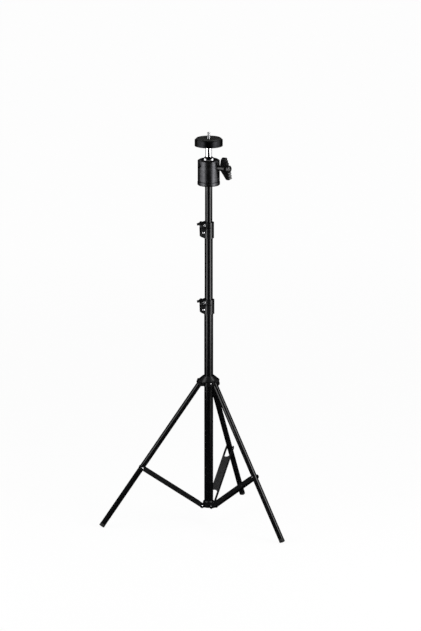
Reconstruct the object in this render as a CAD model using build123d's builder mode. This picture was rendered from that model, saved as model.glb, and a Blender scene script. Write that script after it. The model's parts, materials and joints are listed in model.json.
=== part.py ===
"""Portable projector stand: a folding three-leg base, a column of three
telescoping tubes with screw clamps, and a ball head with a round platform.

Millimetres. Z is up, the floor is Z = 0 and the column runs along Z.
The legs point to 90, 210 and 330 degrees, counted from +X towards +Y.
"""
import os
from math import atan2, cos, hypot, radians, sin

from build123d import *

# Clearances
slide_gap = 0.2          # tube inside tube, on the radius
pin_gap = 0.3            # pivot pin or screw in its hole, on the radius
side_gap = 0.5           # leg head between the hub's ears, each side
brace_gap = 1.0          # brace ear beside its leg, each side
lug_gap = 0.4            # brace ear beside its collar lug, each side
head_gap = 0.3           # rivet head beside the ear that turns under it
ball_gap = 0.4           # ball in the head's housing, on the radius
stem_gap = 1.0           # ball stem in the housing's notch, each side
turn_gap = 0.4           # wing knob in front of the face it is screwed to
spin_gap = 0.3           # platform above the ball's stem

# Tubes of the column
lower_tube_r = 9.0
tube_wall = 0.6
middle_tube_r = lower_tube_r - tube_wall - slide_gap
top_tube_r = middle_tube_r - tube_wall - slide_gap
middle_tube_length = 400.0
top_tube_length = 380.0
top_plug_length = 18.0
head_thread_r = 4.76     # three-eighths thread under the head
head_thread_h = 6.0

# Legs
leg_directions = {"rear": 90, "left": 210, "right": 330}
leg_r = 5.5
leg_wall = 0.6
leg_length = 352.0       # pivot to the end of the foot
leg_angle = 35.2         # leg from the vertical, legs open
leg_head_length = 10.0   # solid end of the leg, from the pivot down
foot_r = leg_r + 0.2
foot_length = 6.0
foot_plug = 14.0
foot_flat = 0.8          # height of the foot's rim that the floor flattens

# Braces
brace_point = 209.0      # along the leg, from its pivot to the brace's pivot
sheet = 1.0              # thickness of the bent sheet
brace_depth = 8.8
brace_back = 5.2         # outside of the web above the pivots' line
brace_cut_top = 22.0     # bare ears at the leg, without the web's arched end
brace_cut_low = 25.0     # bare ears at the collar, without the web's arched end
brace_slope = 8.0        # length over which an ear widens to the full depth

# Pins and rivets
pin_r = 1.8
rivet_head_r = 2.6
rivet_head_h = 1.2
both_ends = (1, -1)      # ways along a pin that carry a head
one_end = (1,)
head_sides = 12          # sides of a small pin or head

# Collar at the foot of the column
collar_pivot_r = 15.0
collar_pivot_z = 34.5
collar_height = 13.4
collar_bevel = 2.0
collar_wall = 2.6
collar_below_pivot = 3.6
collar_floor = 3.0       # closes the tube's lower end

# Hub that slides on the lower tube
hub_pivot_r = 17.0
hub_sleeve_wall = 2.0
hub_ear = 3.0
hub_ear_r = 6.4
hub_sleeve_below = 8.4   # sleeve's lower edge under the pivot
hub_cap_r = 21.6
hub_cap_edge = 2.0       # straight rim of the cap
hub_cap_rise = 8.2       # cone above the rim
hub_cap_over = 3.0       # rim's lower edge above the pivot
hub_cap_lip = 0.6        # flat ring round the tube, on top of the cone
leg_slot_gap = 0.7       # round the leg's head, inside the hub
lock_direction = 150
lock_drop = 3.0          # lock screw's axis under the pivots
lock_boss_r = 4.6
lock_boss = 8.4
lock_screw_r = 2.5
lock_knob_r = 4.6
lock_knob = 6.0

# Clamps on the tubes
lower_clamp_z = 431.0
lower_clamp_h = 29.0
middle_shown = 126.0     # bare middle tube between the clamps
upper_clamp_h = 32.0
top_shown = 76.0         # bare top tube under the head
clamp_direction = 213
clamp_wall = 2.4
clamp_ring_h = 9.4       # squeezed ring at the top
clamp_slit = 1.4
clamp_split = 1.6
slit_back = 3.0          # how far the slit passes the column's axis
lug_reach = 17.4
lug_half = 8.6
lug_low_half = 5.6       # at the clamp's lower edge
lug_round = 1.8
lug_top_slope = 4.0      # cut off the lug's upper outer corner, across and down
lug_low_slope = 3.8      # rise of its lower edge towards the end
spot_half = 6.6          # spot faces for the fixing bolt's heads
spot_gap = 0.4
screw_reach = 11.8       # clamp screws from the column's axis
screw_r = 1.8
screw_head_r = 2.6
screw_head_h = 2.0
screw_end_gap = 1.0      # between the screw's end and the end of the knob's bore
fixing_drop = 20.2       # fixing bolt under the clamp's top
fixing_head_r = 3.0
fixing_head_h = 1.8

# Shares that shape every wing knob
wing_root = 0.18         # of the length, where the wings leave the neck
wing_tip = 0.86          # of the length, outer corner of a wing
wing_height = 0.42       # of the reach, height of a wing's end
wing_round = 0.10        # of the reach, rounding of a wing's corners
boss_shown = 0.35        # of its radius, how far the boss stands out between the wings

# Wing knobs on the clamps
clamp_knob_length = 9.6
clamp_knob_reach = 8.6
clamp_knob_neck_r = 4.2
clamp_knob_boss_r = 4.4
clamp_knob_thick = 4.6
clamp_knob_turn = -40
clamp_knob_bore = 8.0

# Ball head, heights counted from its underside
head_r = 22.0
base_r = 22.5
base_h = 7.0
base_bevel = 1.4
groove_h = 2.2
groove_r = 19.6
housing_h = 52.0
rim_slope_w = 3.4        # sloped rim round the top, across and down
rim_slope_h = 2.2
ball_centre = 44.0
ball_r = 15.0
ball_band = 20           # degrees of the ball's profile in one straight band
ball_flat = 60           # degrees of latitude where its flat ends begin
stem_r = 6.4
stem_pin_r = 4.0
stem_pin_h = 6.0
mouth_r = 16.6           # countersunk opening in the housing's top
mouth_depth = 1.4
lip_r = 14.6             # edge that keeps the ball in
lip_depth = 2.0
seat_drop = 15.4         # floor that the ball rests on, under its centre
notch_direction = 226
set_screw_drop = 22.8    # set screw under the ball's centre
set_screw_r = 2.2
set_screw_in = 1.2       # how far the set screw sits under the surface
set_screw_length = 5.0
platform_z = 79.6
platform_r = 28.0
platform_h = 14.0
platform_bevel = 2.0
pad_r = 25.4
pad_h = 1.4
pad_hole_r = 5.0
stud_r = 3.175           # quarter-inch stud
stud_h = 11.6            # above the pad
stud_root_r = 4.2
stud_root_h = 5.0
stud_bevel = 0.8
knob_direction = 350
knob_drop = 7.8          # lock knob's axis under the ball's centre
knob_length = 28.0
knob_reach = 25.5
knob_neck_r = 5.4
knob_boss_r = 7.4
knob_thick = 7.0
knob_turn = 25
knob_bore = 10.0
shaft_r = 4.0
shaft_in = 6.4           # length of the lock's shaft inside the housing

# Worked-out places
leg_tilt = radians(leg_angle)
foot_end_z = foot_r * sin(leg_tilt) - foot_flat
hub_pivot_z = foot_end_z + leg_length * cos(leg_tilt)
brace_top_r = hub_pivot_r + brace_point * sin(leg_tilt)
brace_top_z = hub_pivot_z - brace_point * cos(leg_tilt)
brace_length = hypot(brace_top_r - collar_pivot_r, brace_top_z - collar_pivot_z)
brace_tilt = atan2(brace_top_r - collar_pivot_r, brace_top_z - collar_pivot_z)
brace_low = brace_back - brace_depth
ear_in = leg_r + brace_gap
ear_out = ear_in + sheet
ear_end_r = brace_depth / 2
collar_z = collar_pivot_z - collar_below_pivot
upper_clamp_z = lower_clamp_z + lower_clamp_h + middle_shown
head_z = upper_clamp_z + upper_clamp_h + top_shown
housing_low = base_h + groove_h
lower_tube_top = lower_clamp_z + lower_clamp_h - clamp_ring_h - clamp_slit
middle_tube_top = upper_clamp_z + upper_clamp_h - clamp_ring_h - clamp_slit
platform_top = platform_z + platform_h

os.makedirs("parts", exist_ok=True)
STAND = (Align.CENTER, Align.CENTER, Align.MIN)
UP = Vector(0, 0, 1)


def save(solid, name):
    """Label a finished piece and write it out."""
    solid.label = name
    export_step(solid, "parts/" + name + ".step")


def out_from(direction):
    """Unit vector away from the column."""
    return Vector(cos(radians(direction)), sin(radians(direction)), 0)


def across_from(direction):
    """Unit vector across the way out, to its left."""
    return Vector(-sin(radians(direction)), cos(radians(direction)), 0)


def pin_plane(direction, reach, height):
    """Plane across a pin: X runs away from the column, Y up, Z along the pin."""
    return Plane(out_from(direction) * reach + UP * height, out_from(direction), -across_from(direction))


def leg_plane(direction):
    """Pivot of a leg: Z runs down the leg, X along the pin."""
    down = out_from(direction) * sin(leg_tilt) - UP * cos(leg_tilt)
    return Plane(out_from(direction) * hub_pivot_r + UP * hub_pivot_z, across_from(direction), down)


def brace_side(direction):
    """Side of a brace: X runs up the brace from the collar, Y towards its web."""
    rise = out_from(direction) * sin(brace_tilt) + UP * cos(brace_tilt)
    return Plane(out_from(direction) * collar_pivot_r + UP * collar_pivot_z, rise, -across_from(direction))


def brace_web(direction):
    """Outside of a brace's web: X runs up the brace from the collar, Z away from the web."""
    side = brace_side(direction)
    return Plane(side.origin + side.y_dir * brace_back, side.x_dir, side.y_dir)


def tube(outer, wall, low, high):
    """Round tube on the column's axis."""
    with BuildPart() as made:
        with Locations((0, 0, low)):
            Cylinder(outer, high - low, align=STAND)
            Cylinder(outer - wall, high - low, align=STAND, mode=Mode.SUBTRACT)
    return made.part


def drill(plane, radius, depth):
    """Hole through the part being built, both ways along the plane's Z."""
    with BuildSketch(plane) as hole:
        RegularPolygon(radius, head_sides)
    extrude(hole.sketch, amount=depth, both=True, mode=Mode.SUBTRACT)


def round_head(plane, radius, height):
    """Head of a small pin or screw, standing on the plane."""
    with BuildSketch(plane) as foot_print:
        RegularPolygon(radius, head_sides)
    extrude(foot_print.sketch, amount=height)


def rivets(reach, height, half_width, headed):
    """One pin for each leg's direction, with a head past the half width at the headed ends."""
    with BuildPart() as made:
        for direction in leg_directions.values():
            plane = pin_plane(direction, reach, height)
            with BuildSketch(plane):
                RegularPolygon(pin_r, head_sides)
            extrude(amount=half_width, both=True)
            for way in headed:
                face = Plane(plane.origin + plane.z_dir * (way * half_width), plane.x_dir, plane.z_dir * way)
                round_head(face, rivet_head_r, rivet_head_h)
    return made.part


def wing_knob(plane, neck_r, boss_r, length, reach, thick, turn, bore_r, bore):
    """Two-wing knob: the plane's Z runs out along its screw."""
    wing = plane.x_dir * cos(radians(turn)) + plane.y_dir * sin(radians(turn))
    flat = plane.y_dir * cos(radians(turn)) - plane.x_dir * sin(radians(turn))
    root = length * wing_root
    tip = length * wing_tip
    with BuildPart() as made:
        with BuildSketch(plane):
            Circle(neck_r)
        extrude(amount=length / 2)
        with BuildSketch(plane.offset(length - boss_r)):
            Circle(boss_r)
        extrude(amount=boss_r)
        with BuildSketch(Plane(plane.origin, wing, -flat)):
            with BuildLine():
                Polyline((-neck_r, root), (neck_r, root), (reach, tip - reach * wing_height),
                         (reach, tip), (boss_r, length - boss_r * boss_shown),
                         (-boss_r, length - boss_r * boss_shown), (-reach, tip),
                         (-reach, tip - reach * wing_height), (-neck_r, root))
            make_face()
        extrude(amount=thick / 2, both=True)
        tips = made.edges().filter_by(Axis(plane.origin, flat)).sort_by_distance(plane.origin)[-4:]
        fillet(tips, reach * wing_round)
        with BuildSketch(plane):
            RegularPolygon(bore_r, head_sides, major_radius=False)
        extrude(amount=bore, mode=Mode.SUBTRACT)
    return made.part


# Column tubes and their plugs
save(tube(lower_tube_r, tube_wall, collar_z + collar_floor, lower_tube_top), "lower_tube")
save(tube(middle_tube_r, tube_wall, middle_tube_top - middle_tube_length, middle_tube_top), "middle_tube")
save(tube(top_tube_r, tube_wall, head_z - top_tube_length, head_z), "top_tube")

with BuildPart() as top_plug:
    with Locations((0, 0, head_z - top_plug_length)):
        Cylinder(top_tube_r - tube_wall, top_plug_length, align=STAND)
    with Locations((0, 0, head_z)):
        Cylinder(head_thread_r, head_thread_h, align=STAND)
save(top_plug.part, "top_plug")

# Collar that holds the braces
with BuildPart() as lower_collar:
    with Locations((0, 0, collar_z)):
        Cylinder(lower_tube_r + collar_wall, collar_height, align=STAND)
    chamfer(lower_collar.edges().group_by(Axis.Z)[-1], collar_bevel)
    for direction in leg_directions.values():
        with BuildSketch(pin_plane(direction, collar_pivot_r, collar_pivot_z)):
            Circle(collar_below_pivot)
            with Locations((-collar_pivot_r / 2, 0)):
                Rectangle(collar_pivot_r, 2 * collar_below_pivot)
        extrude(amount=ear_in - lug_gap, both=True)
    with Locations((0, 0, collar_z + collar_floor)):
        Cylinder(lower_tube_r, collar_height, align=STAND, mode=Mode.SUBTRACT)
    for direction in leg_directions.values():
        drill(pin_plane(direction, collar_pivot_r, collar_pivot_z), pin_r, ear_out)
save(lower_collar.part, "lower_collar")

save(rivets(collar_pivot_r, collar_pivot_z, ear_out + head_gap, both_ends), "collar_pins")

# Hub with an ear pair for each leg under a conical cap
hub_bore = lower_tube_r + slide_gap
hub_sleeve_r = hub_bore + hub_sleeve_wall
hub_low = hub_pivot_z - hub_sleeve_below
cap_low = hub_pivot_z + hub_cap_over
cap_high = cap_low + hub_cap_edge + hub_cap_rise
ear_half = leg_r + side_gap + hub_ear
slot_r = leg_r + leg_slot_gap
lock_plane = Plane(out_from(lock_direction) * hub_sleeve_r + UP * (hub_pivot_z - lock_drop),
                   across_from(lock_direction), out_from(lock_direction))
with BuildPart() as hub:
    with BuildSketch(Plane.XZ):
        with BuildLine():
            Polyline((0, hub_low), (hub_sleeve_r, hub_low), (hub_sleeve_r, cap_low),
                     (hub_cap_r, cap_low), (hub_cap_r, cap_low + hub_cap_edge),
                     (hub_sleeve_r + hub_cap_lip, cap_high), (0, cap_high), (0, hub_low))
        make_face()
    revolve(axis=Axis.Z)
    for direction in leg_directions.values():
        with BuildSketch(pin_plane(direction, hub_pivot_r, hub_pivot_z)):
            with BuildLine():
                Line((-hub_ear_r, -hub_ear_r), (0, -hub_ear_r))
                RadiusArc((0, -hub_ear_r), (hub_ear_r, 0), -hub_ear_r)
                Polyline((hub_ear_r, 0), (hub_ear_r * 0.6, hub_ear_r), (-hub_ear_r, hub_ear_r),
                         (-hub_ear_r, -hub_ear_r))
            make_face()
        extrude(amount=ear_half, both=True)
    with BuildSketch(lock_plane.offset(-hub_sleeve_wall)):
        Circle(lock_boss_r)
    extrude(amount=hub_sleeve_wall + lock_boss)
    for direction in leg_directions.values():
        with BuildSketch(pin_plane(direction, hub_pivot_r, hub_pivot_z)):
            Circle(slot_r)
            with BuildLine():
                Polyline((-slot_r, 0), (-slot_r, -4 * slot_r), (6 * slot_r, -4 * slot_r),
                         (6 * slot_r, slot_r * 0.6), (0, slot_r * 0.6), (-slot_r, 0))
            make_face()
        extrude(amount=leg_r + side_gap, both=True, mode=Mode.SUBTRACT)
        drill(pin_plane(direction, hub_pivot_r, hub_pivot_z), pin_r, ear_half)
    with Locations((0, 0, hub_low)):
        Cylinder(hub_bore, cap_high - hub_low, align=STAND, mode=Mode.SUBTRACT)
    drill(lock_plane, lock_screw_r, lock_boss + hub_sleeve_wall)
save(hub.part, "hub")

save(rivets(hub_pivot_r, hub_pivot_z, ear_half, one_end), "hub_pins")

with BuildPart() as hub_lock:
    with BuildSketch(lock_plane.offset(-hub_sleeve_wall)):
        RegularPolygon(lock_screw_r, head_sides)
    extrude(amount=hub_sleeve_wall + lock_boss)
    with BuildSketch(lock_plane.offset(lock_boss)):
        Circle(lock_knob_r)
    extrude(amount=lock_knob)
save(hub_lock.part, "hub_lock")

# Legs and braces
for side, direction in leg_directions.items():
    pivot = pin_plane(direction, hub_pivot_r, hub_pivot_z)
    place = leg_plane(direction)
    tube_end = leg_length - foot_length

    with BuildPart() as leg:
        with BuildSketch(place):
            Circle(leg_r)
        extrude(amount=tube_end)
        with BuildSketch(pivot):
            Circle(leg_r)
        extrude(amount=leg_r, both=True)
        with BuildSketch(place.offset(leg_head_length)):
            Circle(leg_r - leg_wall)
        extrude(amount=tube_end - leg_head_length, mode=Mode.SUBTRACT)
        drill(pivot, pin_r + pin_gap, ear_half)
    save(leg.part, "leg_" + side)

    with BuildPart() as foot:
        with BuildSketch(place.offset(tube_end)):
            Circle(foot_r)
        extrude(amount=foot_length)
        with BuildSketch(place.offset(tube_end - foot_plug)):
            Circle(leg_r - leg_wall)
        extrude(amount=foot_plug)
        split(bisect_by=Plane.XY, keep=Keep.TOP)
    save(foot.part, "foot_" + side)

    with BuildPart() as brace:
        with BuildSketch(brace_side(direction)):
            Circle(ear_end_r)
            with Locations((brace_length, 0)):
                Circle(ear_end_r)
            with BuildLine():
                Polyline((0, brace_low), (brace_length, brace_low), (brace_length, ear_end_r),
                         (brace_length - brace_slope, brace_back), (brace_slope, brace_back),
                         (0, ear_end_r), (0, brace_low))
            make_face()
        extrude(amount=ear_out, both=True)
        with BuildSketch(brace_side(direction)):
            with Locations((brace_length / 2, brace_back - sheet - brace_depth)):
                Rectangle(brace_length * 1.5, 2 * brace_depth)
            with Locations((brace_cut_low - brace_length / 2, 0)):
                Rectangle(brace_length, 3 * brace_depth)
            with Locations((1.5 * brace_length - brace_cut_top, 0)):
                Rectangle(brace_length, 3 * brace_depth)
        extrude(amount=ear_in, both=True, mode=Mode.SUBTRACT)
        with BuildSketch(brace_web(direction)):
            with Locations((brace_cut_low, 0), (brace_length - brace_cut_top, 0)):
                Circle(ear_in)
        extrude(amount=-brace_depth, mode=Mode.SUBTRACT)
        drill(pin_plane(direction, collar_pivot_r, collar_pivot_z), pin_r + pin_gap, 2 * ear_out)
    save(brace.part, "brace_" + side)

    knee = pin_plane(direction, brace_top_r, brace_top_z)
    with BuildPart() as brace_rivets:
        for way in both_ends:
            face = Plane(knee.origin + knee.z_dir * (way * ear_out), knee.x_dir, knee.z_dir * way)
            round_head(face, rivet_head_r, rivet_head_h)
    save(brace_rivets.part, "brace_rivets_" + side)


def clamp_set(name, low, height, outer_r, inner_r):
    """Split clamp on top of a tube, with its screw, fixing bolt and wing knob."""
    out = out_from(clamp_direction)
    across = across_from(clamp_direction)
    place = Plane(UP * low, out, UP)
    ring_low = height - clamp_ring_h
    screw_at = out * screw_reach + UP * (low + height - clamp_ring_h / 2)
    fixing_at = out * screw_reach + UP * (low + height - fixing_drop)
    with BuildPart(place) as body:
        Cylinder(outer_r + clamp_wall, height, align=STAND)
        with BuildSketch(Plane(place.origin, across, out)):
            with BuildLine():
                Polyline((-lug_low_half, 0), (-lug_half, ring_low), (-lug_half, height), (lug_half, height),
                         (lug_half, ring_low), (lug_low_half, 0), (-lug_low_half, 0))
            make_face()
        extrude(amount=lug_reach)
        ends = body.faces().sort_by(Axis(place.origin, out))[-1].edges().sort_by(Axis.Z)
        fillet(ends[1:-1], lug_round)
        slope_start = outer_r + clamp_wall / 2
        with BuildSketch(Plane(place.origin, out, out.cross(UP))):
            with BuildLine():
                Polyline((slope_start, 0), (lug_reach, 0), (lug_reach, lug_low_slope), (slope_start, 0))
            make_face()
            with BuildLine():
                Polyline((lug_reach - lug_top_slope, height), (lug_reach, height - lug_top_slope),
                         (lug_reach, height), (lug_reach - lug_top_slope, height))
            make_face()
        extrude(amount=lug_half, both=True, mode=Mode.SUBTRACT)
        Cylinder(outer_r, ring_low - clamp_slit, align=STAND, mode=Mode.SUBTRACT)
        Cylinder(inner_r + slide_gap, height, align=STAND, mode=Mode.SUBTRACT)
        with Locations((lug_reach - slit_back, 0, ring_low - clamp_slit)):
            Box(2 * lug_reach, 4 * lug_reach, clamp_slit, align=STAND, mode=Mode.SUBTRACT)
        with Locations((lug_reach, 0, ring_low)):
            Box(2 * lug_reach, clamp_split, clamp_ring_h, align=STAND, mode=Mode.SUBTRACT)
        drill(Plane(screw_at, out, across), screw_r, lug_half)
        drill(Plane(fixing_at, out, across), screw_r, lug_half)
        for way in both_ends:
            with BuildSketch(Plane(fixing_at + across * (way * spot_half), out, across * way)):
                Circle(fixing_head_r + spot_gap)
            extrude(amount=lug_half, mode=Mode.SUBTRACT)
    save(body.part, name + "_clamp")

    screw_past = turn_gap + clamp_knob_bore - screw_end_gap
    with BuildPart() as screw:
        with BuildSketch(Plane(screw_at - across * (lug_half + screw_past), out, across)):
            RegularPolygon(screw_r, head_sides)
        extrude(amount=2 * lug_half + screw_past)
        round_head(Plane(screw_at + across * lug_half, out, across), screw_head_r, screw_head_h)
    save(screw.part, name + "_clamp_screw")

    with BuildPart() as fixing:
        with BuildSketch(Plane(fixing_at, out, across)):
            RegularPolygon(screw_r, head_sides)
        extrude(amount=spot_half, both=True)
        for way in both_ends:
            round_head(Plane(fixing_at + across * (way * spot_half), out, across * way),
                       fixing_head_r, fixing_head_h)
    save(fixing.part, name + "_clamp_bolt")

    face = Plane(screw_at - across * (lug_half + turn_gap), out, -across)
    save(wing_knob(face, clamp_knob_neck_r, clamp_knob_boss_r, clamp_knob_length, clamp_knob_reach,
                   clamp_knob_thick, clamp_knob_turn, screw_r + pin_gap, clamp_knob_bore),
         name + "_clamp_knob")


clamp_set("lower", lower_clamp_z, lower_clamp_h, lower_tube_r, middle_tube_r)
clamp_set("upper", upper_clamp_z, upper_clamp_h, middle_tube_r, top_tube_r)

# Ball head
head = Plane(UP * head_z)
with BuildPart(head) as head_base:
    Cylinder(base_r, base_h, align=STAND)
    chamfer(head_base.edges().group_by(Axis.Z)[0], base_bevel)
    Cylinder(groove_r, housing_low, align=STAND)
    Cylinder(head_thread_r, head_thread_h, align=STAND, mode=Mode.SUBTRACT)
save(head_base.part, "head_base")

cavity_r = ball_r + ball_gap
notch_r = stem_r + stem_gap
knob_z = ball_centre - knob_drop
housing_top = head_z + housing_h
set_screw_plane = Plane(UP * (head_z + ball_centre - set_screw_drop), across_from(notch_direction),
                        out_from(notch_direction)).offset(head_r - set_screw_in - set_screw_length)
with BuildPart() as head_housing:
    with BuildSketch(Plane.XZ):
        with BuildLine():
            Polyline((0, head_z + housing_low), (head_r, head_z + housing_low),
                     (head_r, housing_top - rim_slope_h), (head_r - rim_slope_w, housing_top),
                     (mouth_r, housing_top), (lip_r, housing_top - mouth_depth),
                     (lip_r, housing_top - mouth_depth - lip_depth),
                     (cavity_r, housing_top - mouth_depth - lip_depth),
                     (cavity_r, head_z + ball_centre - seat_drop),
                     (0, head_z + ball_centre - seat_drop), (0, head_z + housing_low))
        make_face()
    revolve(axis=Axis.Z)
    notch = Plane(UP * (head_z + ball_centre), -across_from(notch_direction), out_from(notch_direction))
    with BuildSketch(notch):
        Circle(notch_r)
        with Locations((0, -housing_h / 2)):
            Rectangle(2 * notch_r, housing_h)
    extrude(amount=2 * head_r, mode=Mode.SUBTRACT)
    with BuildSketch(set_screw_plane):
        Circle(set_screw_r)
    extrude(amount=head_r, mode=Mode.SUBTRACT)
    with BuildSketch(Plane(UP * (head_z + knob_z), across_from(knob_direction), out_from(knob_direction))):
        Circle(shaft_r + pin_gap)
    extrude(amount=2 * head_r, mode=Mode.SUBTRACT)
save(head_housing.part, "head_housing")

with BuildPart() as set_screw:
    with BuildSketch(set_screw_plane):
        Circle(set_screw_r)
    extrude(amount=set_screw_length)
save(set_screw.part, "head_set_screw")

with BuildPart(head) as ball_stem:
    with BuildSketch(Plane.XZ):
        with BuildLine():
            bands = [(ball_r * cos(radians(turn)), head_z + ball_centre + ball_r * sin(radians(turn)))
                     for turn in range(-ball_flat, ball_flat + 1, ball_band)]
            Polyline((0, bands[0][1]), *bands, (0, bands[-1][1]), close=True)
        make_face()
    revolve(axis=Axis.Z)
    with Locations((0, 0, ball_centre)):
        Cylinder(stem_r, platform_z - spin_gap - ball_centre, align=STAND)
        Cylinder(stem_pin_r, platform_z + stem_pin_h - ball_centre, align=STAND)
save(ball_stem.part, "ball_stem")

with BuildPart(head) as platform:
    with Locations((0, 0, platform_z)):
        Cylinder(platform_r, platform_h, align=STAND)
    chamfer(platform.edges().group_by(Axis.Z)[-1], platform_bevel)
    with Locations((0, 0, platform_z)):
        Cylinder(stem_pin_r + pin_gap, stem_pin_h + pin_gap, align=STAND, mode=Mode.SUBTRACT)
    with Locations((0, 0, platform_top - stud_root_h)):
        Cylinder(stud_root_r, stud_root_h, align=STAND, mode=Mode.SUBTRACT)
save(platform.part, "platform")

with BuildPart(head) as platform_pad:
    with Locations((0, 0, platform_top)):
        Cylinder(pad_r, pad_h, align=STAND)
        Cylinder(pad_hole_r, pad_h, align=STAND, mode=Mode.SUBTRACT)
save(platform_pad.part, "platform_pad")

with BuildPart(head) as stud:
    with Locations((0, 0, platform_top - stud_root_h)):
        Cylinder(stud_root_r, stud_root_h, align=STAND)
    with Locations((0, 0, platform_top)):
        Cylinder(stud_r, pad_h + stud_h, align=STAND)
    chamfer(stud.edges().group_by(Axis.Z)[-1], stud_bevel)
save(stud.part, "stud")

# Lock knob of the ball
knob_out = out_from(knob_direction)
knob_face = Plane(UP * (head_z + knob_z) + knob_out * (head_r + turn_gap), UP, knob_out)
save(wing_knob(knob_face, knob_neck_r, knob_boss_r, knob_length, knob_reach, knob_thick, knob_turn,
               shaft_r, knob_bore), "ball_knob")

with BuildPart() as ball_knob_shaft:
    with BuildSketch(knob_face.offset(-turn_gap - shaft_in)):
        Circle(shaft_r)
    extrude(amount=shaft_in + turn_gap + knob_bore)
save(ball_knob_shaft.part, "ball_knob_shaft")
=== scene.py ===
"""Looks of a portable projector stand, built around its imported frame.

Metres. Z is up, the floor is Z = 0 and the column runs along Z.
"""

import json
from math import acos, asin, cos, degrees, floor, pi, radians, sin, sqrt

import bmesh
import bpy
from mathutils import Matrix, Vector


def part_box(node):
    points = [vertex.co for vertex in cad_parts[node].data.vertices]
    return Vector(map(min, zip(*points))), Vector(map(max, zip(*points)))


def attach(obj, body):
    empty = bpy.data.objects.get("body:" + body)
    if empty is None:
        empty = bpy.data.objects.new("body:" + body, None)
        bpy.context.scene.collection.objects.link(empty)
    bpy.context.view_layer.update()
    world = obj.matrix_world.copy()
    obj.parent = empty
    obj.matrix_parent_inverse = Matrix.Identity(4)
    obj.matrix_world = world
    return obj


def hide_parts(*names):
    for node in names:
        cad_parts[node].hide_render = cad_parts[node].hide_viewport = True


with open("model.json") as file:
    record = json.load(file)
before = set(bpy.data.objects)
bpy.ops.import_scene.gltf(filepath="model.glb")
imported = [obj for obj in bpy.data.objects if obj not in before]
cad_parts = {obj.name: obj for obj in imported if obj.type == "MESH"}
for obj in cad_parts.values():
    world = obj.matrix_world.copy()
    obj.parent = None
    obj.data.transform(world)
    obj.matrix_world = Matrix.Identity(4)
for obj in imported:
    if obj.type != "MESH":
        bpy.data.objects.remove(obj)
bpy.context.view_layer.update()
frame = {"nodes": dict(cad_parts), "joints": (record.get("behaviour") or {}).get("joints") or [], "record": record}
nodes = frame["nodes"]
joints = {joint["name"]: joint for joint in frame["joints"]}
scene = bpy.context.scene
legs = ("rear", "left", "right")
clamp_bodies = {"lower": "column", "upper": "middle_section"}
mm = 0.001

# Camera
image_height = 631
image_centre = Vector((210.5, 315.5))
metres_per_pixel = 0.002
camera_distance = 12.0
camera_azimuth = radians(18.2)
camera_elevation = radians(13.4)
camera_reach = 200.0
aim = Vector((0, 0, 0.4266))         # on the column's axis
aim_pixel = Vector((208.7, 315.5))
sensor_mm = 36.0

# Lamps: the turn is from the camera's side
softbox_turn = radians(54)
softbox_distance = 1.5
softbox_size = (0.75, 1.6)
softbox_height = 0.82
softbox_power = {"left": 17, "right": 23}
top_panel_turn = radians(100)
top_panel_distance = 1.0
top_panel_height = 1.93
top_panel_size = (1.2, 0.8)
top_panel_power = 8
head_panel_turn = radians(80)
head_panel_height = 0.44
head_panel_size = (0.75, 0.20)
head_panel_power = 2.2
leg_panel_turn = radians(56)         # high on the right, for the upper side of the right leg
leg_panel_distance = 1.3
leg_panel_height = 1.47
leg_panel_size = (0.6, 0.5)
leg_panel_power = 7
room_light = 0.14

# Dark cloths: radius, middle and half width in degrees, lower and upper edge
screens = (
    ("front_screen", 0.5, 0, 33, 0, 1.1),
    ("back_screen", 0.5, 180, 111, 0, 0.58),
    ("upper_back_screen", 0.5, 180, 72, 0.58, 1.1),
    ("low_front_screen", 0.28, -22, 22, 0, 0.27),
    ("low_left_screen", 0.28, -65, 21, 0, 0.2),
)
screen_steps = 32
cloth_colour = 0.004
floor_cloth_radius = 0.8
floor_cloth_lift = 0.4 * mm
floor_cloth_sides = 64

# Floor
floor_radius = 40.0
floor_sides = 96
floor_colour = 0.86
floor_roughness = 0.9
floor_specular = 0.1
floor_white = (0.94, 0.98)           # share of plain white in the floor as background, near and far
floor_near = 0.45
floor_far = 2.5

# Materials: colours of the darker and lighter patches, roughness from and to, scale of the grain
looks = {
    "tube_paint": dict(dark=(0.0018, 0.0018, 0.0020), light=(0.0032, 0.0032, 0.0035),
                       roughness=(0.13, 0.20), grain=1400, bump=0.06, specular=0.28),
    "brace_paint": dict(dark=(0.0035, 0.0035, 0.0038), light=(0.0065, 0.0065, 0.0069),
                        roughness=(0.30, 0.42), grain=1100, bump=0.12, specular=0.30,
                        worn=(0.09, 0.09, 0.093)),
    "plastic": dict(dark=(0.0030, 0.0030, 0.0032), light=(0.0060, 0.0060, 0.0063),
                    roughness=(0.18, 0.28), grain=2200, bump=0.10, specular=0.30,
                    worn=(0.04, 0.04, 0.041)),
    "head_metal": dict(dark=(0.034, 0.034, 0.036), light=(0.047, 0.047, 0.050),
                       roughness=(0.28, 0.38), grain=900, bump=0.06, metallic=1.0,
                       stretch=(0.3, 0.3, 6.0), worn=(0.2, 0.2, 0.205)),
    "platform_metal": dict(dark=(0.008, 0.008, 0.009), light=(0.013, 0.013, 0.014),
                           roughness=(0.28, 0.38), grain=900, bump=0.06, metallic=1.0,
                           worn=(0.08, 0.08, 0.083)),
    "chrome": dict(dark=(0.46, 0.46, 0.47), light=(0.54, 0.54, 0.55),
                   roughness=(0.08, 0.15), grain=500, bump=0.015, metallic=1.0),
    "dark_steel": dict(dark=(0.07, 0.07, 0.074), light=(0.11, 0.11, 0.115),
                       roughness=(0.28, 0.42), grain=800, bump=0.08, metallic=1.0),
    "rubber": dict(dark=(0.0060, 0.0060, 0.0060), light=(0.0120, 0.0120, 0.0120),
                   roughness=(0.62, 0.78), grain=1800, bump=0.3, specular=0.35),
}
darker = {"platform": "platform_metal"}     # nodes that are darker than the rest of their slot
evenly = (1, 1, 1)
patch_noise = (55, 4)                # scale and detail
patch_range = (0.35, 0.68)           # of the noise, from the dark colour to the light one
gloss_noise = (90, 5)
gloss_range = (0.3, 0.75)
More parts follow.
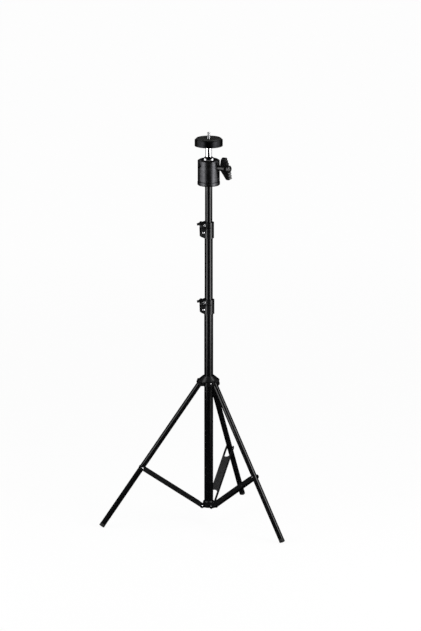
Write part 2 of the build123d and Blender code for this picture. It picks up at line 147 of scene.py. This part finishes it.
wear_noise = (180, 5)
wear_range = (0.45, 0.7)
grain_detail = 2
grain_depth = 0.2 * mm
edge_radius = 0.4 * mm               # rounding that the light sees on sharp edges
edge_samples = 4
edge_range = (0.97, 0.75)            # cosine between the true and the rounded face, from flat to edge
mix_first, mix_second, mix_result = 6, 7, 2     # sockets of a Mix node that hold colours

# Fineness of round forms
sharp_angle = radians(32)
weld_distance = 1e-7
pin_steps = 24
head_steps = 32
screw_steps = 36
round_steps = 48
fine_steps = 96
dome_steps = 8
corner_steps = 5
ball_steps = 40
neck_steps = 8
wing_steps = 96
thread_rows = 10                     # in each turn of the thread

# Rivets, screws and bolts
rivet_head_r = 2.6 * mm
rivet_head_h = 1.2 * mm
hub_pin_half = 9.0 * mm
collar_pin_half = 7.8 * mm
knee_pin_half = 7.5 * mm
pin_r = 1.8 * mm
lug_half = 8.6 * mm                  # half the width across a clamp's lugs
spot_half = 6.6 * mm                 # half the width between the seats of a bolt's heads
screw_r = 1.8 * mm
screw_past_lug = 0.3 * mm            # up to the wing knob's face
screw_head_r = 2.6 * mm
screw_head_h = 2.0 * mm
screw_round = 0.6 * mm
socket_r = 1.4 * mm
socket_sides = 6
socket_floor = 0.6 * mm              # above the head's seat, at the socket's sides
socket_point = 0.4 * mm              # above the head's seat, in the socket's middle
bolt_head_r = 3.0 * mm
bolt_head_h = 1.8 * mm
both_ends = (0, pi)                  # turns about X that put a head on each end of a pin
far_end = (pi,)

# Ball, stud and pad
stem_r = 6.4 * mm
stem_pin_r = 4.0 * mm
stem_pin_h = 6.3 * mm
stem_bevel = 0.6 * mm
neck_round = 1.6 * mm
stud_r = 3.175 * mm
stud_root_r = 4.2 * mm
thread_pitch = 1.27 * mm             # twenty to the inch
thread_depth = 0.6 * mm
pad_hole_r = 5.0 * mm
pad_edge_h = 0.2 * mm                # bevel round the disc
pad_edge_w = 0.4 * mm
pad_rim = 2.4 * mm                   # from the disc's edge to the inside of its raised rim
rim_foot_in = 0.5 * mm               # from the disc's edge to the outside of the rim
rim_top_in = 0.9 * mm
rim_lean = 0.2 * mm
pad_pitch = 2.6 * mm
pad_block_h = 0.8 * mm
block_foot = 0.6                     # of the pitch, from a block's middle to its corners
block_top = 0.46
block_sides = 4
sunk = 0.1 * mm                      # how far a raised form reaches into what carries it

# Wing knobs: length along the axis, reach of the wings from it
knob_sizes = {
    "ball": dict(length=28.0 * mm, reach=25.5 * mm, neck_r=5.4 * mm, boss_r=7.4 * mm, thick=7.0 * mm),
    "clamp": dict(length=9.6 * mm, reach=8.6 * mm, neck_r=3.4 * mm, boss_r=3.6 * mm, thick=4.6 * mm),
}
knob_turns = {"ball": radians(25), "clamp": radians(-15)}
knob_gap = 0.4 * mm                  # between a knob and what it turns on
wing_root = 0.18                     # of the length, where the wings leave the neck
wing_tip = 0.86                      # of the length, outer corner of a wing
wing_height = 0.47                   # of the reach, height of a wing's end
wing_round = 0.06                    # of the reach, rounding of a wing's corners
wing_bevel = 0.1                     # of the thickness, along a wing's edges
bevel_limit = 1 / 3                  # of a side, the most that a bevel takes
grip_teeth = 3                       # on the outer edge of a wing
grip_depth = 0.15                    # of a wing's height
grip_flank = 0.80                    # of the pitch, long side of a tooth
grip_slope = 0.29                    # of a wing's height, fall of its outer edge to the pushed side
boss_shown = 0.35                    # of its radius, how far the boss stands out between the wings
boss_dome = 0.45                     # of its radius, height of the boss's rounded end


def point_camera():
    """Camera at the photograph's viewing angle, on a long lens."""
    back = Vector((sin(camera_azimuth) * cos(camera_elevation),
                   -cos(camera_azimuth) * cos(camera_elevation), sin(camera_elevation)))
    right = Vector((cos(camera_azimuth), sin(camera_azimuth), 0))
    centre = aim + right * ((image_centre.x - aim_pixel.x) * metres_per_pixel)
    camera = bpy.data.objects.new("camera", bpy.data.cameras.new("camera"))
    camera.data.sensor_width = sensor_mm
    camera.data.lens = sensor_mm * camera_distance / (image_height * metres_per_pixel)
    camera.data.clip_end = camera_reach
    camera.location = centre + back * camera_distance
    camera.rotation_mode = "QUATERNION"
    camera.rotation_quaternion = (-back).to_track_quat("-Z", "Y")
    scene.collection.objects.link(camera)
    scene.camera = camera


def add_softbox(name, turn, distance, height, size, power, target):
    """Rectangular lamp turned from the camera's side, facing a target."""
    way = camera_azimuth + turn
    lamp = bpy.data.lights.new(name, "AREA")
    lamp.shape = "RECTANGLE"
    lamp.size, lamp.size_y = size
    lamp.energy = power
    place = bpy.data.objects.new(name, lamp)
    place.location = (sin(way) * distance, -cos(way) * distance, height)
    place.rotation_mode = "QUATERNION"
    place.rotation_quaternion = (target - place.location).to_track_quat("-Z", "Y")
    place.visible_camera = False
    scene.collection.objects.link(place)


def hang_cloth(name, shape):
    """Dark cloth that only reflections see, as photographers set round glossy black."""
    mesh = bpy.data.meshes.new(name)
    shape.to_mesh(mesh)
    shape.free()
    material = bpy.data.materials.new(name)
    material.use_nodes = True
    cloth = material.node_tree.nodes["Principled BSDF"]
    cloth.inputs["Base Color"].default_value = (cloth_colour, cloth_colour, cloth_colour, 1)
    cloth.inputs["Roughness"].default_value = 1
    cloth.inputs["Specular IOR Level"].default_value = 0
    mesh.materials.append(material)
    screen = bpy.data.objects.new(name, mesh)
    screen.visible_camera = screen.visible_diffuse = False
    screen.visible_shadow = screen.visible_transmission = False
    scene.collection.objects.link(screen)


def add_screen(name, radius, middle, half, low_edge, high_edge):
    """Curved screen round the column, standing between two heights."""
    shape = bmesh.new()
    columns = []
    for step in range(screen_steps + 1):
        way = camera_azimuth + radians(middle - half + 2 * half * step / screen_steps)
        side = Vector((sin(way) * radius, -cos(way) * radius, 0))
        columns.append([shape.verts.new(side + Vector((0, 0, edge))) for edge in (low_edge, high_edge)])
    for (low, high), (next_low, next_high) in zip(columns, columns[1:]):
        shape.faces.new((low, next_low, next_high, high))
    hang_cloth(name, shape)


def add_lamps():
    """On each side a softbox, an overhead panel and a low panel for the head; one high panel for a leg."""
    for side, way in (("left", -1), ("right", 1)):
        add_softbox(side + "_softbox", way * softbox_turn, softbox_distance, softbox_height, softbox_size,
                    softbox_power[side], Vector((0, 0, softbox_height)))
        add_softbox(side + "_top_panel", way * top_panel_turn, top_panel_distance, top_panel_height,
                    top_panel_size, top_panel_power, aim)
        add_softbox(side + "_head_panel", way * head_panel_turn, softbox_distance, head_panel_height,
                    head_panel_size, head_panel_power, node_centre("head_housing"))
    add_softbox("leg_panel", leg_panel_turn, leg_panel_distance, leg_panel_height, leg_panel_size,
                leg_panel_power, Vector((0, 0, leg_panel_height)))


def light_studio():
    """Lamps, dark cloths round the stand and on the floor, and a dim room."""
    add_lamps()
    for screen in screens:
        add_screen(*screen)
    cloth = bmesh.new()
    bmesh.ops.create_circle(cloth, cap_ends=True, segments=floor_cloth_sides, radius=floor_cloth_radius,
                            matrix=Matrix.Translation((0, 0, floor_cloth_lift)))
    hang_cloth("floor_cloth", cloth)
    world = bpy.data.worlds.new("studio")
    world.use_nodes = True
    world.node_tree.nodes["Background"].inputs["Color"].default_value = (1, 1, 1, 1)
    world.node_tree.nodes["Background"].inputs["Strength"].default_value = room_light
    scene.world = world


def lay_floor():
    """Pale floor that keeps the shadow and reads as the white background."""
    shape = bmesh.new()
    bmesh.ops.create_circle(shape, cap_ends=True, segments=floor_sides, radius=floor_radius)
    mesh = bpy.data.meshes.new("floor")
    shape.to_mesh(mesh)
    shape.free()
    mesh.materials.append(make_floor_material())
    ground = bpy.data.objects.new("floor", mesh)
    scene.collection.objects.link(ground)


def make_floor_material():
    """Pale matt floor, mixed with plain white where the camera sees it, directly or in a reflection."""
    material = bpy.data.materials.new("floor")
    material.use_nodes = True
    tree = material.node_tree
    matt = tree.nodes["Principled BSDF"]
    matt.inputs["Base Color"].default_value = (floor_colour, floor_colour, floor_colour, 1)
    matt.inputs["Roughness"].default_value = floor_roughness
    matt.inputs["Specular IOR Level"].default_value = floor_specular
    white = tree.nodes.new("ShaderNodeEmission")
    white.inputs["Color"].default_value = (1, 1, 1, 1)
    white.inputs["Strength"].default_value = 1
    path = tree.nodes.new("ShaderNodeLightPath")
    seen = path.outputs["Is Camera Ray"]
    for other in ("Is Glossy Ray", "Is Transmission Ray"):
        seen = work_out(tree, "MAXIMUM", seen, path.outputs[other])
    away = tree.nodes.new("ShaderNodeVectorMath")
    away.operation = "LENGTH"
    tree.links.new(tree.nodes.new("ShaderNodeTexCoord").outputs["Object"], away.inputs[0])
    white_share = spread(tree, away.outputs["Value"], (floor_near, floor_far), floor_white)
    mix = tree.nodes.new("ShaderNodeMixShader")
    tree.links.new(work_out(tree, "MULTIPLY", seen, white_share), mix.inputs["Fac"])
    tree.links.new(matt.outputs[0], mix.inputs[1])
    tree.links.new(white.outputs[0], mix.inputs[2])
    tree.links.new(mix.outputs[0], tree.nodes["Material Output"].inputs["Surface"])
    return material


def work_out(tree, operation, first, second):
    """Number worked out from two others, such as their product."""
    node = tree.nodes.new("ShaderNodeMath")
    node.operation = operation
    tree.links.new(first, node.inputs[0])
    tree.links.new(second, node.inputs[1])
    return node.outputs[0]


def spread(tree, value, span, to_span=(0, 1)):
    """Value moved from one range to another, and kept inside it."""
    node = tree.nodes.new("ShaderNodeMapRange")
    for end, number, to_number in zip(("Min", "Max"), span, to_span):
        node.inputs["From " + end].default_value = number
        node.inputs["To " + end].default_value = to_number
    tree.links.new(value, node.inputs["Value"])
    return node.outputs["Result"]


def noise(tree, scale, detail, stretch=evenly):
    """Noise in the piece's own space; stretch squeezes it along an axis."""
    place = tree.nodes.new("ShaderNodeTexCoord")
    mapping = tree.nodes.new("ShaderNodeMapping")
    mapping.inputs["Scale"].default_value = stretch
    tree.links.new(place.outputs["Object"], mapping.inputs["Vector"])
    node = tree.nodes.new("ShaderNodeTexNoise")
    node.inputs["Scale"].default_value = scale
    node.inputs["Detail"].default_value = detail
    tree.links.new(mapping.outputs["Vector"], node.inputs["Vector"])
    return node.outputs["Fac"]


def round_edges(tree):
    """Mask that is one on sharp edges and nought on flat faces, and the rounded faces' direction."""
    bevel = tree.nodes.new("ShaderNodeBevel")
    bevel.samples = edge_samples
    bevel.inputs["Radius"].default_value = edge_radius
    plain = tree.nodes.new("ShaderNodeNewGeometry")
    turn = tree.nodes.new("ShaderNodeVectorMath")
    turn.operation = "DOT_PRODUCT"
    tree.links.new(bevel.outputs["Normal"], turn.inputs[0])
    tree.links.new(plain.outputs["Normal"], turn.inputs[1])
    return spread(tree, turn.outputs["Value"], edge_range), bevel.outputs["Normal"]


def blend_colour(tree, factor, first, second):
    """Colour between two, by a factor; each end is a colour or a socket."""
    node = tree.nodes.new("ShaderNodeMix")
    node.data_type = "RGBA"
    tree.links.new(factor, node.inputs["Factor"])
    for socket, colour in ((node.inputs[mix_first], first), (node.inputs[mix_second], second)):
        if isinstance(colour, bpy.types.NodeSocket):
            tree.links.new(colour, socket)
        else:
            socket.default_value = (*colour, 1)
    return node.outputs[mix_result]


def make_material(name, dark, light, roughness, grain, bump, metallic=0.0, specular=0.5,
                  stretch=evenly, worn=None):
    """Material with uneven colour and gloss, a fine grain and, if asked, worn edges."""
    material = bpy.data.materials.new(name)
    material.use_nodes = True
    tree = material.node_tree
    shader = tree.nodes["Principled BSDF"]
    shader.inputs["Metallic"].default_value = metallic
    shader.inputs["Specular IOR Level"].default_value = specular
    patches = spread(tree, noise(tree, *patch_noise, stretch), patch_range)
    colour = blend_colour(tree, patches, dark, light)
    edges, soft_normal = round_edges(tree)
    if worn:
        rubbed = work_out(tree, "MULTIPLY", edges, spread(tree, noise(tree, *wear_noise), wear_range))
        colour = blend_colour(tree, rubbed, colour, worn)
    tree.links.new(colour, shader.inputs["Base Color"])
    gloss = spread(tree, noise(tree, *gloss_noise), gloss_range, roughness)
    tree.links.new(gloss, shader.inputs["Roughness"])
    relief = tree.nodes.new("ShaderNodeBump")
    relief.inputs["Strength"].default_value = bump
    relief.inputs["Distance"].default_value = grain_depth
    tree.links.new(noise(tree, grain, grain_detail, stretch), relief.inputs["Height"])
    tree.links.new(soft_normal, relief.inputs["Normal"])
    tree.links.new(relief.outputs["Normal"], shader.inputs["Normal"])
    return material


def dress_nodes():
    """Each node takes the material of its slot in the record, or a darker kind of it."""
    for subpart in frame["record"]["subparts"]:
        mesh = nodes[subpart["node"]].data
        mesh.materials.clear()
        mesh.materials.append(materials[darker.get(subpart["node"], subpart["material_slot"])])


def add_piece(name, shape, body, slot_name, *stands_for):
    """Finished mesh that rides a body and stands for nodes of the frame."""
    bmesh.ops.remove_doubles(shape, verts=shape.verts, dist=weld_distance)
    bmesh.ops.recalc_face_normals(shape, faces=shape.faces)
    mesh = bpy.data.meshes.new(name)
    shape.to_mesh(mesh)
    shape.free()
    for polygon in mesh.polygons:
        polygon.use_smooth = True
    mesh.set_sharp_from_angle(angle=sharp_angle)
    mesh.materials.append(materials[slot_name])
    piece = bpy.data.objects.new(name, mesh)
    scene.collection.objects.link(piece)
    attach(piece, body)
    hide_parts(*stands_for)


def arc(centre, radius, start, stop, count):
    """Points (radius, height) along a round stretch of a profile, in degrees."""
    turns = [radians(start + (stop - start) * step / count) for step in range(count + 1)]
    return [(centre[0] + radius * cos(turn), centre[1] + radius * sin(turn)) for turn in turns]


def ring_radius(radius, sides, turn):
    """Radius at a turn of a round ring, or of a ring with flat sides."""
    if not sides:
        return radius
    return radius * cos(pi / sides) / cos(turn % (2 * pi / sides) - pi / sides)


def lathe(shape, place, profile, steps=round_steps):
    """Profile of (radius, height) turned round the place's Z; a third number gives a ring flat sides."""
    rings = []
    for radius, height, *sides in profile:
        turns = [2 * pi * step / steps for step in range(steps)] if radius > weld_distance else [0]
        reach = [ring_radius(radius, sides[0] if sides else 0, turn) for turn in turns]
        rings.append([shape.verts.new(place @ Vector((r * cos(turn), r * sin(turn), height)))
                      for r, turn in zip(reach, turns)])
    for low, high in zip(rings, rings[1:]):
        for step in range(steps):
            ahead = (step + 1) % steps
            corners = [low[step % len(low)], low[ahead % len(low)],
                       high[ahead % len(high)], high[step % len(high)]]
            corners = list(dict.fromkeys(corners))
            if len(corners) > 2:
                shape.faces.new(corners)


def skin(shape, rings):
    """Closed skin over rings that have as many corners each."""
    for ring, following in zip(rings, rings[1:]):
        for step, corner in enumerate(ring):
            ahead = (step + 1) % len(ring)
            shape.faces.new((corner, ring[ahead], following[ahead], following[step]))
    shape.faces.new(rings[0])
    shape.faces.new(rings[-1])


def along(point, direction):
    """Place at a point with its Z along a direction."""
    return Matrix.Translation(point) @ Vector(direction).to_track_quat("Z", "Y").to_matrix().to_4x4()


def dome(radius, height, foot):
    """Profile of a domed head whose flat underside is at a height along its axis."""
    bulge = (radius * radius + height * height) / (2 * height)
    start = degrees(asin((bulge - height) / bulge))
    return [(0, foot)] + arc((0, foot + height - bulge), bulge, start, 90, dome_steps)


def joint_place(name):
    """Place of a joint at rest, with its Z along the joint's axis."""
    return along(Vector(joints[name]["pos_m"]), joints[name]["axis"])


def node_centre(name):
    """Middle of a node's box."""
    low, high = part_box(name)
    return (low + high) / 2


def add_heads(shape, place, half, head_r, head_h, ends):
    """Domed heads at the given ends of a pin."""
    for end in ends:
        lathe(shape, place @ Matrix.Rotation(end, 4, "X"), dome(head_r, head_h, half), head_steps)


def add_rivet(shape, place, half, shank_r, head_r, head_h, ends):
    """Pin on both sides of a place, with a domed head at the given ends."""
    lathe(shape, place, [(0, -half), (shank_r, -half), (shank_r, half), (0, half)], pin_steps)
    add_heads(shape, place, half, head_r, head_h, ends)


def add_pin_rivets(name, joint, half, ends, body):
    """Rivets that are the pins of one kind of joint, on all three legs."""
    shape = bmesh.new()
    for leg in legs:
        add_rivet(shape, joint_place(joint % leg), half, pin_r, rivet_head_r, rivet_head_h, ends)
    add_piece(name, shape, body, "chrome", name.replace("rivets", "pins"))


def add_knee_rivets(leg):
    """Rivet heads where a brace meets its leg."""
    shape = bmesh.new()
    knee = along(node_centre("brace_rivets_" + leg), joints["leg_%s_fold" % leg]["axis"])
    add_heads(shape, knee, knee_pin_half, rivet_head_r, rivet_head_h, both_ends)
    add_piece("knee_rivets_" + leg, shape, "brace_" + leg, "chrome", "brace_rivets_" + leg)


def add_clamp_fasteners(level, body):
    """Socket screw that the wing knob pulls, and the bolt that fixes the clamp to its tube."""
    place = joint_place(level + "_knob_turn")
    inner = lug_half + screw_past_lug
    shape = bmesh.new()
    lathe(shape, place, [(0, -lug_half), (screw_r, -lug_half), (screw_r, inner), (0, inner)], pin_steps)
    top = lug_half + screw_head_h
    side = top - screw_round
    profile = [(0, lug_half), (screw_head_r, lug_half), (screw_head_r, side)]
    profile += arc((screw_head_r - screw_round, side), screw_round, 0, 90, corner_steps)
    profile += [(socket_r, top, socket_sides), (socket_r, lug_half + socket_floor, socket_sides),
                (0, lug_half + socket_point)]
    lathe(shape, place @ Matrix.Rotation(pi, 4, "X"), profile, screw_steps)
    add_piece(level + "_clamp_socket_screw", shape, body, "chrome", level + "_clamp_screw")
    shape = bmesh.new()
    bolt = along(node_centre(level + "_clamp_bolt"), joints[level + "_knob_turn"]["axis"])
    add_rivet(shape, bolt, spot_half, screw_r, bolt_head_r, bolt_head_h, both_ends)
    add_piece(level + "_clamp_rivet", shape, body, "chrome", level + "_clamp_bolt")


def wing_section(station, length, reach, neck_r, boss_r, thick):
    """Corners (thickness, height) of a knob's section at a station along its wings."""
    tip = length * wing_tip
    end_height = reach * wing_height
    past_boss = max(0, abs(station) - boss_r)
    past_neck = max(0, abs(station) - neck_r)
    corner = reach * wing_round
    past_corner = max(0, abs(station) - reach + corner)
    cut = corner - sqrt(max(0, corner * corner - past_corner * past_corner))
    tooth = past_boss / (reach - boss_r) * (grip_teeth - 1 + grip_flank) % 1
    notch = end_height * grip_depth * max(1 - tooth / grip_flank, (tooth - grip_flank) / (1 - grip_flank))
    shoulder = length - boss_r * boss_shown
    high = shoulder + (tip - shoulder) * past_boss / (reach - boss_r) - cut - notch
    root = length * wing_root
    low = root + (tip - end_height - root) * past_neck / (reach - neck_r) + cut
    near = max(high - end_height * grip_slope, low + thick * wing_bevel)
    return [Vector((thick / 2, low)), Vector((thick / 2, near)),
            Vector((-thick / 2, high)), Vector((-thick / 2, low))]


def bevel_corners(corners, size):
    """Outline with a small bevel at each corner."""
    outline = []
    for before, corner, after in zip(corners[-1:] + corners[:-1], corners, corners[1:] + corners[:1]):
        for other in (before, after):
            way = other - corner
            outline.append(corner + way.normalized() * min(size, way.length * bevel_limit))
    return outline


def add_wing_knob(name, kind, joint, across, seat, body, node):
    """Moulded knob with two wings, whose outer edges have grip teeth and lean to the pushed side."""
    sizes = knob_sizes[kind]
    length, reach, neck_r, boss_r, thick = sizes.values()
    turn = knob_turns[kind]
    axis = Vector(joints[joint]["axis"])
    wing = across * cos(turn) + axis.cross(across) * sin(turn)
    place = Matrix((wing, axis.cross(wing), axis)).transposed().to_4x4()
    place.translation = Vector(joints[joint]["pos_m"]) + axis * (seat + knob_gap)
    shape = bmesh.new()
    rings = []
    for step in range(wing_steps + 1):
        station = reach * (2 * step / wing_steps - 1)
        outline = bevel_corners(wing_section(station, **sizes), thick * wing_bevel)
        rings.append([shape.verts.new(place @ Vector((station, *point))) for point in outline])
    skin(shape, rings)
    lathe(shape, place, [(0, 0), (neck_r, 0), (neck_r, length / 2), (0, length / 2)])
    dome_h = boss_r * boss_dome
    foot = length - boss_r
    lathe(shape, place, [(0, foot), (boss_r, foot)] + dome(boss_r, dome_h, length - dome_h)[1:])
    add_piece(name, shape, body, "plastic", node)


def add_ball_knob():
    """Knob that locks the ball."""
    upright = Vector((0, 0, 1))
    add_wing_knob("moulded_ball_knob", "ball", "ball_knob_turn", upright, 0, "ball_knob", "ball_knob")


def add_clamp_knob(level):
    """Knob that draws a clamp together."""
    joint = level + "_knob_turn"
    out = Vector((*joints[joint]["pos_m"][:2], 0)).normalized()
    add_wing_knob("moulded_%s_knob" % level, "clamp", joint, out, lug_half, level + "_knob",
                  level + "_clamp_knob")


def add_ball():
    """Polished ball with its stem, in one piece."""
    centre = Vector(joints["ball_tilt"]["pos_m"])
    low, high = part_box("ball_stem")
    top = high.z - centre.z
    ball_r = (high.x - low.x) / 2
    shoulder = top - stem_pin_h
    neck_turn = degrees(acos((stem_r + neck_round) / (ball_r + neck_round)))
    neck_height = (ball_r + neck_round) * sin(radians(neck_turn))
    profile = arc((0, 0), ball_r, -90, neck_turn, ball_steps)
    profile += arc((stem_r + neck_round, neck_height), neck_round, 180 + neck_turn, 180, neck_steps)
    profile += [(stem_r, shoulder - stem_bevel), (stem_r - stem_bevel, shoulder), (stem_pin_r, shoulder),
                (stem_pin_r, top), (0, top)]
    shape = bmesh.new()
    lathe(shape, Matrix.Translation(centre), profile, fine_steps)
    add_piece("polished_ball", shape, "ball", "chrome", "ball_stem")


def add_stud():
    """Stud with a real thread, which fades out at its top, on a smooth root."""
    low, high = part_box("stud")
    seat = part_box("platform_pad")[0].z
    foot = seat - sunk
    length = high.z - foot
    rows = int(length / thread_pitch * thread_rows)
    rings = []
    shape = bmesh.new()
    for row in range(rows + 1):
        height = length * row / rows
        fade = min(1, (length - height) / thread_pitch)
        ring = []
        for step in range(round_steps):
            turn = 2 * pi * step / round_steps
            wave = abs(2 * ((height / thread_pitch - step / round_steps) % 1) - 1)
            radius = stud_r - thread_depth * (1 - fade) - thread_depth * wave * fade
            ring.append(shape.verts.new((radius * cos(turn), radius * sin(turn), foot + height)))
        rings.append(ring)
    skin(shape, rings)
    lathe(shape, Matrix.Identity(4), [(0, low.z), (stud_root_r, low.z), (stud_root_r, seat), (0, seat)])
    add_piece("threaded_stud", shape, "platform", "chrome", "stud")


def add_pad():
    """Rubber disc with a raised rim and rows of small raised blocks."""
    low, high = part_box("platform_pad")
    outer = (high.x - low.x) / 2
    top = high.z - pad_block_h
    foot = top - sunk
    centre = Matrix.Identity(4)
    shape = bmesh.new()
    lathe(shape, centre, [(pad_hole_r, low.z), (outer, low.z), (outer, top - pad_edge_h),
                          (outer - pad_edge_w, top), (pad_hole_r, top), (pad_hole_r, low.z)], fine_steps)
    rim = outer - pad_rim
    lathe(shape, centre, [(rim, foot), (rim + rim_lean, high.z), (outer - rim_top_in, high.z),
                          (outer - rim_foot_in, foot), (rim, foot)], fine_steps)
    block = [(0, foot), (pad_pitch * block_foot, foot), (pad_pitch * block_top, high.z), (0, high.z)]
    square = Matrix.Rotation(pi / block_sides, 4, "Z")
    count = floor(outer / pad_pitch)
    for row in range(-count, count + 1):
        for column in range(-count, count + 1):
            reach = Vector((row, column)).length * pad_pitch
            if pad_hole_r + pad_pitch * block_foot < reach < rim - pad_pitch * block_foot:
                place = Matrix.Translation((row * pad_pitch, column * pad_pitch, 0))
                lathe(shape, place @ square, block, block_sides)
    add_piece("blocked_pad", shape, "platform", "rubber", "platform_pad")


scene.view_settings.view_transform = "Standard"
materials = {name: make_material(name, **look) for name, look in looks.items()}
point_camera()
light_studio()
lay_floor()
dress_nodes()
add_pin_rivets("hub_rivets", "leg_%s_fold", hub_pin_half, far_end, "hub")
add_pin_rivets("collar_rivets", "brace_%s_fold", collar_pin_half, both_ends, "column")
for leg in legs:
    add_knee_rivets(leg)
for level, body in clamp_bodies.items():
    add_clamp_fasteners(level, body)
add_ball_knob()
for level in clamp_bodies:
    add_clamp_knob(level)
add_ball()
add_stud()
add_pad()
